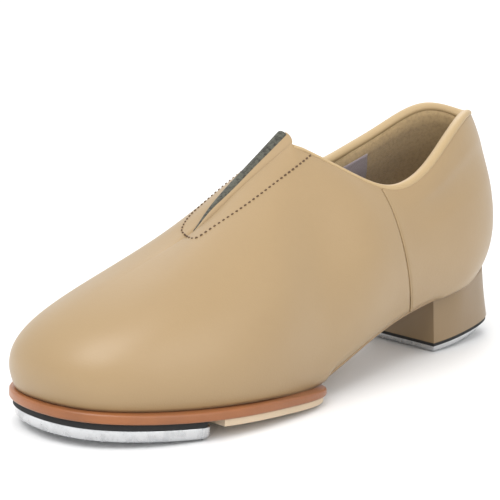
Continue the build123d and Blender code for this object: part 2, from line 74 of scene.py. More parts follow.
# ---- the last: ribs from the toe round by the little-toe side to the heel and back by the inside -------
# Each rib is a cubic curve: feather point, two handles, point on the opening.
RIBS = np.array((
    ((-7, -120, 15.5), (-7, -132.5, 44), (-3, -93, 51), (0, -45, 69.2)),
    ((17, -114.5, 15), (21, -125, 43), (9, -89, 52.5), (0.8, -42, 71.2)),
    ((34, -94, 13.6), (41, -100, 42), (19, -78, 58), (1.7, -35, 75.6)),
    ((42.5, -66, 11.8), (52, -67, 42), (24, -54, 66), (2.7, -24.5, 82.6)),
    ((43, -38, 9.6), (52.5, -38, 44), (27, -29, 74), (4.2, -10.5, 90.8)),
    ((37.5, -12, 7.6), (48.5, -10, 46), (23, -4, 82), (6.3, 3.5, 99.2)),
    ((33, 16, 14.3), (45, 18, 48), (36, 22, 72), (18.5, 20.9, 88.2)),
    ((28, 45, 21), (38, 47, 44), (34, 46, 62), (25.3, 41.4, 78.6)),
    ((25, 72, 24.6), (34.5, 73, 44), (30.5, 68, 64), (25.7, 62, 81.8)),
    ((22.5, 94, 26.6), (31.5, 99, 46), (26.5, 91, 70), (21.5, 82, 92.3)),
    ((13.5, 112, 28.3), (21.5, 123.5, 46), (17.3, 115.5, 74), (12.8, 104.8, 100.2)),
    ((0, 119.5, 29), (0, 134, 45), (0, 129, 74), (0, 117.5, 98)),
    ((-13.5, 112, 28.3), (-21.5, 123.5, 46), (-17.3, 115.5, 74), (-12.4, 104.8, 101.2)),
    ((-22.5, 94, 26.6), (-31.5, 99, 46), (-26.5, 91, 70), (-20.5, 84.5, 93)),
    ((-24, 72, 24.6), (-33.5, 73, 44), (-29.5, 68, 64), (-24.2, 64, 84.8)),
    ((-21, 45, 21), (-32, 47, 44), (-32, 46, 62), (-24.3, 43, 81)),
    ((-23, 16, 14.3), (-37, 18, 46), (-33, 22, 72), (-18.5, 21.5, 88.6)),
    ((-30, -12, 7.6), (-43, -10, 44), (-22, -4, 78.5), (-6.6, 3.8, 98.4)),
    ((-37.5, -38, 9.6), (-49, -38, 42), (-24, -29, 71), (-4.8, -10.0, 89.4)),
    ((-40.5, -68, 11.8), (-50, -68, 40), (-22, -54, 62), (-3.3, -24.0, 81.2)),
    ((-39, -95, 13.6), (-47, -101, 39.5), (-20, -78, 53.5), (-1.9, -34.7, 75.0)),
    ((-27, -114, 15), (-33, -124, 41.5), (-12, -90, 50.5), (-0.8, -42, 71.2)),
), float)
STATIONS = len(RIBS)
THROAT = 5        # the rib that ends at the throat corner, beside the V-slit
HEEL = 11         # the rib up the back of the heel

# Crest of the gore along the middle of the V-slit, from its front end to its top: (x, y, z).
CREST = np.array(((0, -46.5, 68.3), (0, -42, 71.8), (0, -35, 77.2), (0, -24.5, 83.9),
                  (0, -10.8, 92.6), (0, 3.2, 101.6)), float)

# Plan of the forefoot sole, from the toe round by the little-toe side.
SOLE_PLAN = np.array((
    (-5, -123.5), (20, -117.3), (38, -95.5), (46.4, -66.6), (46.5, -36), (40.5, -11),
    (20, -5.5), (-10, -5), (-33.5, -11), (-41, -36), (-44.5, -68), (-41, -97), (-28.5, -116.5),
), float)

# The forefoot sole is drawn level and tipped about one cross line, and so is the heel.
TIP_Y = -68.0
TOE_SPRING = 0.0667
BREAST_Y = 75.0
HEEL_PITCH = math.radians(4.0)


# ---- curves and surfaces of the last -------------------------------------------------------------------
def spline(knots, places, closed):
    """Smooth (C2) curve through evenly numbered knots, read at many places between them."""
    count = len(knots)
    system = np.zeros((count, count))
    bend = np.zeros_like(knots)
    for i in range(count):
        if closed or 0 < i < count - 1:
            system[i, i] = 4
            system[i, (i + 1) % count] += 1
            system[i, i - 1] += 1
            bend[i] = 6 * (knots[(i + 1) % count] - 2 * knots[i] + knots[i - 1])
        else:
            system[i, i] = 1
    bend = np.linalg.solve(system, bend.reshape(count, -1)).reshape(knots.shape)
    places = np.asarray(places, float)
    low = np.floor(places).astype(int)
    if not closed:
        low = np.clip(low, 0, count - 2)
    f = (places - low).reshape(places.shape + (1,) * (knots.ndim - 1))
    g = 1 - f
    low = low % count
    high = (low + 1) % count
    return knots[low] * g + knots[high] * f - (bend[low] * (g - g ** 3) + bend[high] * (f - f ** 3)) / 6


def opening(t):
    """Points on the edge of the opening; it has a corner at the slit's end and at each throat corner."""
    points = np.empty(t.shape + (3,))
    for first, last in ((0, THROAT), (THROAT, STATIONS - THROAT), (STATIONS - THROAT, STATIONS)):
        knots = RIBS[np.arange(first, last + 1) % STATIONS, 3]
        here = (t >= first) & (t <= last)
        points[here] = spline(knots, t[here] - first, closed=False)
    return points


def on_upper(t, w):
    """Points on the outside of the upper: t counts the ribs round the foot, w goes up from 0 to 1."""
    t, w = np.broadcast_arrays(np.asarray(t, float) % STATIONS, np.asarray(w, float))
    rails = spline(RIBS[:, :3], t, closed=True)
    w = w[..., None]
    v = 1 - w
    return (v ** 3 * rails[..., 0, :] + 3 * w * v * v * rails[..., 1, :]
            + 3 * w * w * v * rails[..., 2, :] + w ** 3 * opening(t))


def unit(vectors):
    return vectors / np.linalg.norm(vectors, axis=-1, keepdims=True)


def outward(t, w):
    """Unit normals of the upper, pointing away from the foot."""
    step = 1e-3
    along = on_upper(np.asarray(t) + step, w) - on_upper(np.asarray(t) - step, w)
    up = on_upper(t, np.asarray(w) + step) - on_upper(t, np.asarray(w) - step)
    return unit(np.cross(along, up))


def inside(t, w, depth):
    """Points at a depth below the outside of the upper."""
    return on_upper(t, w) - np.asarray(depth)[..., None] * outward(t, w)


def ease(x):
    """0 below 0, 1 above 1, and a smooth rise between."""
    x = np.clip(x, 0.0, 1.0)
    return x * x * (3 - 2 * x)


def away_from_toe(t):
    """How many ribs a place is away from the toe, the same on both sides."""
    t = np.asarray(t, float) % STATIONS
    return np.minimum(t, STATIONS - t)


def seam_rib(w):
    """Where the side seam runs at a height: nearly upright above, sweeping back towards the sole."""
    return 6.8 + 0.53 * np.clip(1 - np.asarray(w) / 0.7, 0, 1) ** 1.7


def tip(points, line_y, angle):
    """Turns points about a cross line on the ground; a positive angle lifts what is behind it."""
    y = points[..., 1] - line_y
    z = points[..., 2]
    tipped = points.copy()
    tipped[..., 1] = line_y + y * math.cos(angle) - z * math.sin(angle)
    tipped[..., 2] = y * math.sin(angle) + z * math.cos(angle)
    return tipped


def tip_toe(points):
    return tip(points, TIP_Y, -math.atan(TOE_SPRING))


def tip_heel(points):
    return tip(points, BREAST_Y, HEEL_PITCH)


# ---- mesh helpers --------------------------------------------------------------------------------------
def to_row(points):
    return (np.asarray(points, float) + TO_ROW) * MM


def signed_volume(points, faces):
    total = 0.0
    for face in faces:
        a = points[face[0]]
        for b, c in zip(face[1:-1], face[2:]):
            total += np.dot(a, np.cross(points[b], points[c]))
    return total


def mesh_piece(name, points, faces):
    """New object from points in the shoemaker's frame; faces are turned outwards as a whole."""
    points = to_row(points)
    if signed_volume(points - points.mean(0), faces) < 0:
        faces = [tuple(reversed(face)) for face in faces]
    mesh = bpy.data.meshes.new(name)
    mesh.from_pydata(points.tolist(), [], [tuple(int(i) for i in face) for face in faces])
    mesh.update()
    piece = bpy.data.objects.new(name, mesh)
    bpy.context.scene.collection.objects.link(piece)
    for polygon in mesh.polygons:
        polygon.use_smooth = True
    return piece


def loop_faces(rows, columns, start=0):
    """Quads between successive closed loops of the same number of points."""
    faces = []
    for i in range(rows - 1):
        a, b = start + i * columns, start + (i + 1) * columns
        for j in range(columns):
            k = (j + 1) % columns
            faces.append((a + j, b + j, b + k, a + k))
    return faces


def strip_cap(first, columns):
    """Faces that close the end of a strip whose loop runs out along one face and back along the other."""
    faces = []
    for j in range(columns // 2 - 1):
        far = columns - 1 - j
        faces.append((first + j, first + j + 1, first + far - 1, first + far))
    return faces


def loft(name, loops, cap="strip"):
    """Closed mesh through loops of points, an array of (loops, points in a loop, 3)."""
    rows, columns = loops.shape[:2]
    faces = loop_faces(rows, columns)
    end = (rows - 1) * columns
    if cap == "strip":
        faces += strip_cap(0, columns) + [tuple(reversed(f)) for f in strip_cap(end, columns)]
    else:
        faces += [tuple(range(columns)), tuple(reversed(range(end, end + columns)))]
    return mesh_piece(name, loops.reshape(-1, 3), faces)


def rounded_edge(point, normal, up, thickness, steps=5):
    """Points over the top of a leather edge, from its outer face to its inner face."""
    turn = np.linspace(0, math.pi, steps + 2)[1:-1]
    half = np.asarray(thickness)[..., None, None] / 2
    middle = point[..., None, :] - half * normal[..., None, :]
    return (middle + half * (np.cos(turn)[:, None] * normal[..., None, :]
                             + 0.8 * np.sin(turn)[:, None] * up[..., None, :]))


def select_only(piece):
    bpy.ops.object.select_all(action="DESELECT")
    piece.select_set(True)
    bpy.context.view_layer.objects.active = piece


def bevel_edges(piece, chosen, width, segments):
    """Rounds the edges of a mesh that a test on their two end points chooses."""
    select_only(piece)
    bpy.ops.object.mode_set(mode="EDIT")
    bpy.ops.mesh.select_mode(type="EDGE")
    bpy.ops.mesh.select_all(action="DESELECT")
    bpy.ops.object.mode_set(mode="OBJECT")
    mesh = piece.data
    for edge in mesh.edges:
        a, b = (mesh.vertices[i].co for i in edge.vertices)
        edge.select = bool(chosen(a, b))
    bpy.ops.object.mode_set(mode="EDIT")
    bpy.ops.mesh.bevel(offset=width, segments=segments, affect="EDGES", profile=0.5)
    bpy.ops.mesh.select_all(action="SELECT")
    bpy.ops.mesh.normals_make_consistent(inside=False)
    bpy.ops.object.mode_set(mode="OBJECT")


def plate(name, outline, low, high, round_low, round_high, segments=4):
    """Flat plate: a filled circle is given the outline, extruded, and rounded at its two rims."""
    bpy.ops.object.select_all(action="DESELECT")
    bpy.ops.mesh.primitive_circle_add(vertices=len(outline), radius=0.01, fill_type="NGON",
                                      location=(0, 0, 0))
    piece = bpy.context.active_object
    piece.name = piece.data.name = name
    for vertex, (x, y) in zip(piece.data.vertices, outline):
        vertex.co = (x * MM, y * MM, low * MM)
    bpy.ops.object.mode_set(mode="EDIT")
    bpy.ops.mesh.select_all(action="SELECT")
    bpy.ops.mesh.extrude_region_move(TRANSFORM_OT_translate={"value": (0, 0, (high - low) * MM)})
    bpy.ops.mesh.select_all(action="SELECT")
    bpy.ops.mesh.normals_make_consistent(inside=False)
    bpy.ops.object.mode_set(mode="OBJECT")
    for level, width in ((low, round_low), (high, round_high)):
        if width > 0:
            height = level * MM
            bevel_edges(piece, lambda a, b: abs(a.z - height) < 1e-6 and abs(b.z - height) < 1e-6,
                        width * MM, segments)
    return piece


def seat(piece, tipping):
    """Tips a mesh that was made level about the shoemaker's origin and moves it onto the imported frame."""
    points = tipping(np.array([v.co for v in piece.data.vertices]) / MM)
    piece.data.vertices.foreach_set("co", to_row(points).astype(np.float32).ravel())
    piece.data.update()
    return piece


def smooth(piece, degrees=35):
    select_only(piece)
    bpy.ops.object.shade_smooth_by_angle(angle=math.radians(degrees))
    return piece


def smooth_outline(plan, count, inset=0.0):
    """Evenly read points of a closed plan, moved inwards."""
    points = spline(plan, np.arange(count) * len(plan) / count, closed=True)
    along = np.roll(points, -1, 0) - np.roll(points, 1, 0)
    inward = unit(np.stack([-along[:, 1], along[:, 0]], -1))
    return points + inset * inward


def cut_outline(points, first_y, last_y, corner=0.0):
    """Part of a closed plan between two straight cuts across the shoe, with its rear corners rounded."""
    keep = []
    for i in range(len(points)):
        a, b = points[i], points[(i + 1) % len(points)]
        if first_y <= a[1] <= last_y:
            keep.append(a)
        for y in (first_y, last_y):
            if (a[1] - y) * (b[1] - y) < 0:
                keep.append(a + (b - a) * (y - a[1]) / (b[1] - a[1]))
    keep = np.array(keep)
    if corner == 0:
        return keep
    on_cut = [i for i in range(len(keep)) if abs(keep[i][1] - last_y) < 1e-6]
    rounded = []
    for i in range(len(keep)):
        if i not in on_cut:
            if min(np.linalg.norm(keep[i] - keep[k]) for k in on_cut) > corner:
                rounded.append(keep[i])
            continue
        other = keep[on_cut[1] if i == on_cut[0] else on_cut[0]]
        neighbour = keep[(i + 1) % len(keep)]
        if (i + 1) % len(keep) in on_cut:
            neighbour = keep[i - 1]
        along_cut = keep[i] + unit(other - keep[i]) * corner
        along_side = keep[i] + unit(neighbour - keep[i]) * corner
        ends = (along_side, along_cut) if (i + 1) % len(keep) in on_cut else (along_cut, along_side)
        for u in np.linspace(0, 1, 7):
            rounded.append((1 - u) ** 2 * ends[0] + 2 * u * (1 - u) * keep[i] + u * u * ends[1])
    return np.array(rounded)


def finish_piece(piece, material, replaced=(), body=None):
    piece.data.materials.clear()
    piece.data.materials.append(material)
    if replaced:
        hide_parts(*replaced)
    if body:
        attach(piece, body)
    else:
        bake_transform(piece)
    return piece


# ---- shader groups -------------------------------------------------------------------------------------
def new_group(name, inputs, outputs):
    group = bpy.data.node_groups.new(name, "ShaderNodeTree")
    for label, kind, value in inputs:
        socket = group.interface.new_socket(label, in_out="INPUT", socket_type=kind)
        socket.default_value = value
    for label, kind in outputs:
        group.interface.new_socket(label, in_out="OUTPUT", socket_type=kind)
    nodes = group.nodes
    return group, nodes, group.links, nodes.new("NodeGroupInput"), nodes.new("NodeGroupOutput")


def math_node(nodes, links, operation, a, b=None, clamp=False):
    node = nodes.new("ShaderNodeMath")
    node.operation = operation
    node.use_clamp = clamp
    for socket, value in zip(node.inputs, (a, b)):
        if value is None:
            continue
        if isinstance(value, (int, float)):
            socket.default_value = value
        else:
            links.new(value, socket)
    return node.outputs[0]


def mix_colour(nodes, links, factor, a, b):
    node = nodes.new("ShaderNodeMix")
    node.data_type = "RGBA"
    for socket, value in ((node.inputs[0], factor), (node.inputs[6], a), (node.inputs[7], b)):
        if isinstance(value, (int, float, tuple)):
            socket.default_value = value
        else:
            links.new(value, socket)
    return node.outputs[2]


def noise(nodes, links, place, scale, detail=3.0, roughness=0.55):
    node = nodes.new("ShaderNodeTexNoise")
    node.inputs["Detail"].default_value = detail
    node.inputs["Roughness"].default_value = roughness
    links.new(place, node.inputs["Vector"])
    if isinstance(scale, (int, float)):
        node.inputs["Scale"].default_value = scale
    else:
        links.new(scale, node.inputs["Scale"])
    return node.outputs["Fac"]


def leather_group():
    """Smooth dyed leather: fine pebble grain, pores, cloudy dye and a little rubbed gloss."""
    group, nodes, links, given, made = new_group(
        "Leather grain",
        (("Colour", "NodeSocketColor", (0.6, 0.4, 0.25, 1)),
         ("Shade", "NodeSocketColor", (0.4, 0.25, 0.12, 1)),
         ("Grain size", "NodeSocketFloat", 1400.0), ("Cloud", "NodeSocketFloat", 0.25),
         ("Gloss", "NodeSocketFloat", 0.4)),
        (("Colour", "NodeSocketColor"), ("Roughness", "NodeSocketFloat"), ("Height", "NodeSocketFloat")))
    place = nodes.new("ShaderNodeTexCoord").outputs["Object"]
    grain = nodes.new("ShaderNodeTexVoronoi")
    grain.feature = "SMOOTH_F1"
    grain.inputs["Smoothness"].default_value = 0.6
    links.new(place, grain.inputs["Vector"])
    links.new(given.outputs["Grain size"], grain.inputs["Scale"])
    fine = noise(nodes, links, place, 2600.0, detail=2.0)
    creases = noise(nodes, links, place, 420.0, detail=4.0, roughness=0.6)
    clouds = noise(nodes, links, place, 28.0, detail=4.0)
    broad = noise(nodes, links, place, 9.0, detail=2.0)
    dye = math_node(nodes, links, "MULTIPLY",
                    math_node(nodes, links, "SUBTRACT", math_node(nodes, links, "ADD", clouds, broad), 0.62),
                    given.outputs["Cloud"], clamp=True)
    colour = mix_colour(nodes, links, dye, given.outputs["Colour"], given.outputs["Shade"])
    pores = math_node(nodes, links, "MULTIPLY", math_node(nodes, links, "SUBTRACT", fine, 0.56), 0.55,
                      clamp=True)
    colour = mix_colour(nodes, links, pores, colour, given.outputs["Shade"])
    height = math_node(nodes, links, "ADD",
                       math_node(nodes, links, "MULTIPLY", grain.outputs["Distance"], 0.55),
                       math_node(nodes, links, "MULTIPLY", creases, 0.5))
    height = math_node(nodes, links, "ADD", height, math_node(nodes, links, "MULTIPLY", fine, 0.15))
    rough = math_node(nodes, links, "ADD", given.outputs["Gloss"],
                      math_node(nodes, links, "MULTIPLY",
                                math_node(nodes, links, "SUBTRACT", clouds, 0.5), 0.22))
    links.new(colour, made.inputs["Colour"])
    links.new(rough, made.inputs["Roughness"])
    links.new(height, made.inputs["Height"])
    return group


def cloth_group():
    """Fabric: fine threads crossing, a brushed nap and specks of heather."""
    group, nodes, links, given, made = new_group(
        "Cloth weave",
        (("Colour", "NodeSocketColor", (0.6, 0.5, 0.35, 1)),
         ("Second", "NodeSocketColor", (0.4, 0.32, 0.2, 1)),
         ("Threads", "NodeSocketFloat", 1200.0), ("Heather", "NodeSocketFloat", 0.3)),
        (("Colour", "NodeSocketColor"), ("Height", "NodeSocketFloat")))
    place = nodes.new("ShaderNodeTexCoord").outputs["Object"]
    waves = []
    for direction in ("Y", "Z"):
        wave = nodes.new("ShaderNodeTexWave")
        wave.bands_direction = direction
        wave.inputs["Distortion"].default_value = 1.2
        wave.inputs["Detail"].default_value = 1.0
        links.new(place, wave.inputs["Vector"])
        links.new(given.outputs["Threads"], wave.inputs["Scale"])
        waves.append(wave.outputs["Fac"])
    weave = math_node(nodes, links, "MULTIPLY", waves[0], waves[1])
    nap = noise(nodes, links, place, 1500.0, detail=3.0)
    specks = noise(nodes, links, place, 700.0, detail=2.0)
    patches = noise(nodes, links, place, 60.0, detail=3.0)
    heather = math_node(nodes, links, "MULTIPLY",
                        math_node(nodes, links, "MULTIPLY",
                                  math_node(nodes, links, "SUBTRACT", specks, 0.42), 3.0),
                        given.outputs["Heather"], clamp=True)
    colour = mix_colour(nodes, links, heather, given.outputs["Colour"], given.outputs["Second"])
    shade = math_node(nodes, links, "MULTIPLY", math_node(nodes, links, "SUBTRACT", patches, 0.4), 0.5,
                      clamp=True)
    colour = mix_colour(nodes, links, shade, colour, given.outputs["Second"])
    height = math_node(nodes, links, "ADD", math_node(nodes, links, "MULTIPLY", weave, 0.6),
                       math_node(nodes, links, "MULTIPLY", nap, 0.5))
    links.new(colour, made.inputs["Colour"])
    links.new(height, made.inputs["Height"])
    return group


def scuff_and_reflection_group():
    """Fine scratches and handling marks on a hard surface, and a mask of blotches; on the aluminium taps that
    mask lays on painted reflection as well as scuffs.
    """
    group, nodes, links, given, made = new_group(
        "Scuffs and painted reflection",
        (("Clean", "NodeSocketFloat", 0.25), ("Dull", "NodeSocketFloat", 0.5),
         ("Amount", "NodeSocketFloat", 0.5)),
        (("Roughness", "NodeSocketFloat"), ("Height", "NodeSocketFloat"), ("Mask", "NodeSocketFloat")))
    place = nodes.new("ShaderNodeTexCoord").outputs["Object"]
    stretch = nodes.new("ShaderNodeMapping")
    stretch.inputs["Scale"].default_value = (240.0, 2600.0, 900.0)
    stretch.inputs["Rotation"].default_value = (0, 0, 0.5)
    links.new(place, stretch.inputs["Vector"])
    lines = noise(nodes, links, stretch.outputs["Vector"], 1.0, detail=2.0)
    spots = noise(nodes, links, place, 180.0, detail=4.0)
    mask = math_node(nodes, links, "MULTIPLY", math_node(nodes, links, "SUBTRACT", spots, 0.45), 4.0,
                     clamp=True)
    mask = math_node(nodes, links, "MULTIPLY", mask, given.outputs["Amount"], clamp=True)
    span = math_node(nodes, links, "SUBTRACT", given.outputs["Dull"], given.outputs["Clean"])
    rough = math_node(nodes, links, "ADD", given.outputs["Clean"],
                      math_node(nodes, links, "MULTIPLY", span, mask))
    rough = math_node(nodes, links, "ADD", rough, math_node(nodes, links, "MULTIPLY", lines, 0.12))
    height = math_node(nodes, links, "ADD", lines, math_node(nodes, links, "MULTIPLY", spots, 0.4))
    links.new(rough, made.inputs["Roughness"])
    links.new(height, made.inputs["Height"])
    links.new(mask, made.inputs["Mask"])
    return group


# ---- materials -----------------------------------------------------------------------------------------
def material_base(name):
    material = bpy.data.materials.new(name)
    material.use_nodes = True
    nodes = material.node_tree.nodes
    links = material.node_tree.links
    return material, nodes, links, nodes["Principled BSDF"]


def place_group(nodes, group, **values):
    node = nodes.new("ShaderNodeGroup")
    node.node_tree = bpy.data.node_groups[group]
    for label, value in values.items():
        node.inputs[label.replace("_", " ")].default_value = value
    return node


def add_bump(nodes, links, shader, height, distance):
    bump = nodes.new("ShaderNodeBump")
    bump.inputs["Strength"].default_value = 1.0
    bump.inputs["Distance"].default_value = distance
    links.new(height, bump.inputs["Height"])
    links.new(bump.outputs["Normal"], shader.inputs["Normal"])


def leather(name, colour, shade, gloss, grain=1400.0, cloud=0.25, depth=0.00006, coat=0.12, coat_rough=0.35):
    material, nodes, links, shader = material_base(name)
    group = place_group(nodes, "Leather grain", Colour=(*colour, 1), Shade=(*shade, 1), Grain_size=grain,
                        Cloud=cloud, Gloss=gloss)
    links.new(group.outputs["Colour"], shader.inputs["Base Color"])
    links.new(group.outputs["Roughness"], shader.inputs["Roughness"])
    add_bump(nodes, links, shader, group.outputs["Height"], depth)
    shader.inputs["Coat Weight"].default_value = coat
    shader.inputs["Coat Roughness"].default_value = coat_rough
    shader.inputs["Sheen Weight"].default_value = 0.05
    return material


def cloth(name, colour, second, threads, heather, depth=0.0002, sheen=0.4):
    material, nodes, links, shader = material_base(name)
    group = place_group(nodes, "Cloth weave", Colour=(*colour, 1), Second=(*second, 1), Threads=threads,
                        Heather=heather)
    links.new(group.outputs["Colour"], shader.inputs["Base Color"])
    add_bump(nodes, links, shader, group.outputs["Height"], depth)
    shader.inputs["Roughness"].default_value = 0.9
    shader.inputs["Sheen Weight"].default_value = sheen
    shader.inputs["Sheen Roughness"].default_value = 0.5
    return material


def hard(name, colour, metallic, clean, dull, amount, depth=0.00002, second=None):
    material, nodes, links, shader = material_base(name)
    group = place_group(nodes, "Scuffs and painted reflection", Clean=clean, Dull=dull, Amount=amount)
    links.new(group.outputs["Roughness"], shader.inputs["Roughness"])
    # The mask blends in the second colour: scuffed wear on the spacer, screws and heel core, and on the
    # aluminium taps also painted reflection, darker blotches standing in for the grey streaks of reflected
    # surroundings.
    colours = mix_colour(nodes, links, group.outputs["Mask"], (*colour, 1), (*(second or colour), 1))
    links.new(colours, shader.inputs["Base Color"])
    add_bump(nodes, links, shader, group.outputs["Height"], depth)
    shader.inputs["Metallic"].default_value = metallic
    return material


def made(name):
    return bpy.data.materials[name]


# ---- settings of the add-on ----------------------------------------------------------------------------
class TapShoeColours(bpy.types.PropertyGroup):
    leather: bpy.props.FloatVectorProperty(
        name="Leather", description="Tan of the upper", subtype="COLOR", size=3,
        default=(0.322, 0.220, 0.108))
    binding: bpy.props.FloatVectorProperty(
        name="Binding", description="Light tan of the topline binding", subtype="COLOR", size=3,
        default=(0.42, 0.300, 0.155))
    lining: bpy.props.FloatVectorProperty(
        name="Lining", description="Brushed lining", subtype="COLOR", size=3, default=(0.42, 0.295, 0.145))
    midsole: bpy.props.FloatVectorProperty(
        name="Midsole", description="Waxed leather midsole", subtype="COLOR", size=3,
        default=(0.36, 0.118, 0.026))
    outsole: bpy.props.FloatVectorProperty(
        name="Outsole", description="Split leather outsole", subtype="COLOR", size=3,
        default=(0.62, 0.50, 0.36))
    thread: bpy.props.FloatVectorProperty(
        name="Thread", description="Stitching beside the V-slit", subtype="COLOR", size=3,
        default=(0.085, 0.045, 0.018))


class TapShoeSizes(bpy.types.PropertyGroup):
    upper_thickness: bpy.props.FloatProperty(
        name="Upper thickness", description="Thickness of the upper leather", default=0.0012, unit="LENGTH")
    skived_thickness: bpy.props.FloatProperty(
        name="Skived edge", description="Thickness of the leather along the V-slit", default=0.0006,
        unit="LENGTH")
    stitch_pitch: bpy.props.FloatProperty(
        name="Stitch pitch", description="Distance from stitch to stitch", default=0.0023, unit="LENGTH")
    thread_radius: bpy.props.FloatProperty(
        name="Thread radius", description="Half the thickness of the thread", default=0.00036, unit="LENGTH")
    collar_fill: bpy.props.FloatProperty(
        name="Collar fill", description="How full the padded collar is", default=0.6, min=0, max=1)


def sizes():
    return bpy.context.scene.tap_shoe_sizes


def colours():
    return bpy.context.scene.tap_shoe_colours


# ---- operators -----------------------------------------------------------------------------------------
class TAPSHOE_OT_materials(bpy.types.Operator):
    """Make the finishes that the pieces share"""
    bl_idname = "tapshoe.materials"
    bl_label = "Finishes"

    def execute(self, context):
        leather_group()
        cloth_group()
        scuff_and_reflection_group()
        tint = colours()
        tan = tuple(tint.leather)
        leather("Tan leather", tan, (0.23, 0.145, 0.068), 0.42, cloud=0.3, depth=0.00005)
        leather("Binding leather", tuple(tint.binding), (0.31, 0.21, 0.10), 0.55, grain=1700, coat=0.0)
        leather("Arch leather", (0.29, 0.195, 0.10), (0.2, 0.125, 0.06), 0.6, coat=0.0)
        leather("Heel leather", (0.215, 0.142, 0.068), (0.14, 0.09, 0.04), 0.45, depth=0.00004)
        leather("Midsole leather", tuple(tint.midsole), (0.12, 0.038, 0.010), 0.42, grain=700, cloud=0.9,
                depth=0.00008, coat=0.25, coat_rough=0.3)
        leather("Outsole leather", tuple(tint.outsole), (0.38, 0.28, 0.18), 0.85, grain=600, cloud=0.6,
                depth=0.00015, coat=0.0)
        cloth("Brushed lining", tuple(tint.lining), (0.22, 0.145, 0.065), 900, 0.5)
        cloth("Sock liner", (0.33, 0.225, 0.11), (0.19, 0.12, 0.055), 900, 0.4)
        cloth("Gore elastic", (0.095, 0.095, 0.07), (0.014, 0.011, 0.006), 1500, 1.2, depth=0.0003, sheen=0.1)
        cloth("Label weave", (0.30, 0.25, 0.27), (0.2, 0.16, 0.17), 1800, 0.3, depth=0.0001)
        cloth("Stiffener", (0.55, 0.5, 0.42), (0.4, 0.36, 0.3), 1000, 0.2)
        cloth("Collar foam", (0.62, 0.56, 0.42), (0.5, 0.44, 0.32), 1500, 0.4)
        cloth("Insole board", (0.42, 0.31, 0.19), (0.3, 0.2, 0.11), 500, 0.5)
        leather("Thread", tuple(tint.thread), (0.09, 0.04, 0.02), 0.7, grain=2500, coat=0.0)
        # The taps' darker second colour is partly scuffed wear and partly painted reflection.
        hard("Tap aluminium", (0.60, 0.61, 0.62), 1.0, 0.16, 0.42, 0.5, depth=0.00004,
             second=(0.33, 0.34, 0.35))
        hard("Screw steel", (0.42, 0.42, 0.41), 1.0, 0.3, 0.5, 0.7, second=(0.25, 0.25, 0.24))
        hard("Black spacer", (0.006, 0.006, 0.006), 0.0, 0.7, 0.9, 0.8, depth=0.00005,
             second=(0.014, 0.014, 0.014))
        hard("Heel core", (0.30, 0.17, 0.08), 0.0, 0.6, 0.8, 0.6, second=(0.2, 0.11, 0.05))
        finishes = {
            "toe_puff": "Stiffener", "heel_counter": "Stiffener", "collar_foam": "Collar foam",
            "forefoot_filler": "Collar foam", "forefoot_insole": "Insole board",
            "heel_insole": "Insole board",
            "heel_block": "Heel core", "heel_nails": "Screw steel", "sock_liner_front": "Sock liner",
            "sock_liner_heel": "Sock liner", "toe_tap_screws": "Screw steel",
            "heel_tap_screws": "Screw steel",
            "gore_elastic": "Gore elastic", "size_label": "Label weave",
        }
        for node, finish in finishes.items():
            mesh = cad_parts[node].data
            mesh.materials.clear()
            mesh.materials.append(made(finish))
        return {"FINISHED"}


# Rows of points up the outside and down the inside of the upper, and over its edge.
ROWS_UP = 60
ROWS_DOWN = 26
EDGE_STEPS = 5
# The leather ends at this height, inside the binding.
BINDING_EDGE = 0.982
# Columns close together beside a seam, counted from it, where the edge of the leather is turned.
EDGE_COLUMNS = (0.0, 0.006, 0.014, 0.026, 0.045)
EDGE_COLUMNS_END = 0.06
# From this rib to that one the leather rolls under the arch.
ARCH_ROLL_FIRST, ARCH_ROLL_LAST = 5.15, 8.25
ARCH_ROLL_REACH = 4.2


def leather_depth(t, w):
    """Thickness of the leather, skived along the V-slit."""
    full, thin = sizes().upper_thickness / MM, sizes().skived_thickness / MM
    beside_slit = 1 - ease(away_from_toe(t) - THROAT)
    return full - (full - thin) * ease((w - 0.9) / 0.04) * beside_slit


def upper_loops(place, count, dips):
    """Closed loops of an upper piece: up the outside, over the edge, down the inside, and under the arch.

    place gives the rib for a column and a height; dips is how far each column's face sinks at a seam."""
    loops = []
    for k in range(count):
        t_top = float(place(k, 1.0))
        away = float(away_from_toe(t_top))
        top = 1 - (1 - BINDING_EDGE) * float(ease((away - THROAT) / 0.15))
        w = np.linspace(0, 1, ROWS_UP)
        w = (w + 0.15 * w * (1 - w) * (2 * w - 1)) * top
        t = place(k, w)
        outer = inside(t, w, dips[k] - collar_swell(t, w))
        rolled = (ease((away_from_toe(t[:1]) - ARCH_ROLL_FIRST) / 0.35)
                  * ease((ARCH_ROLL_LAST - away_from_toe(t[:1])) / 0.3))
        feather = outer[0].copy()
        inward = -outward(t[:1], np.array([0.02]))[0]
        inward[2] = 0
        inward = unit(inward)
        roll = float(rolled[0])
        under = feather + inward * (1.0 + ARCH_ROLL_REACH * roll)
        start = outer[4]
        for j, u in enumerate(np.linspace(0, 1, 5)):
            bent = (1 - u) ** 2 * under + 2 * u * (1 - u) * feather + u * u * start
            outer[j] = outer[j] * (1 - roll) + bent * roll
        tip_normal = outward(t[-1:], w[-1:] - 0.002)[0]
        tip_up = unit(outer[-1] - outer[-2])
        depth_top = float(leather_depth(t[-1:], w[-1:])[0]) - dips[k]
        edge = rounded_edge(outer[-1], tip_normal, tip_up, depth_top, EDGE_STEPS)
        w_in = np.linspace(top, 0.0, ROWS_DOWN)
        t_in = place(k, w_in)
        inner = inside(t_in, w_in, leather_depth(t_in, w_in))
        inner[-1] = inner[-1] * (1 - roll) + (under + np.array([0, 0, 1.2])) * roll
        inner[-2] = inner[-2] * (1 - roll) + ((inner[-3] + under) / 2 + np.array([0, 0, 1.0])) * roll
        loops.append(np.vstack([outer, edge, inner]))
    return np.array(loops)


def seam_columns(span):
    """Evenly spread columns from -1 to 1, close together at both ends where the edges are turned."""
    middle = np.linspace(-1, 1, span)
    inner = middle[np.abs(middle) < 1 - EDGE_COLUMNS_END]
    ends = np.array(EDGE_COLUMNS)
    return np.concatenate([-1 + ends, inner, (1 - ends)[::-1]])


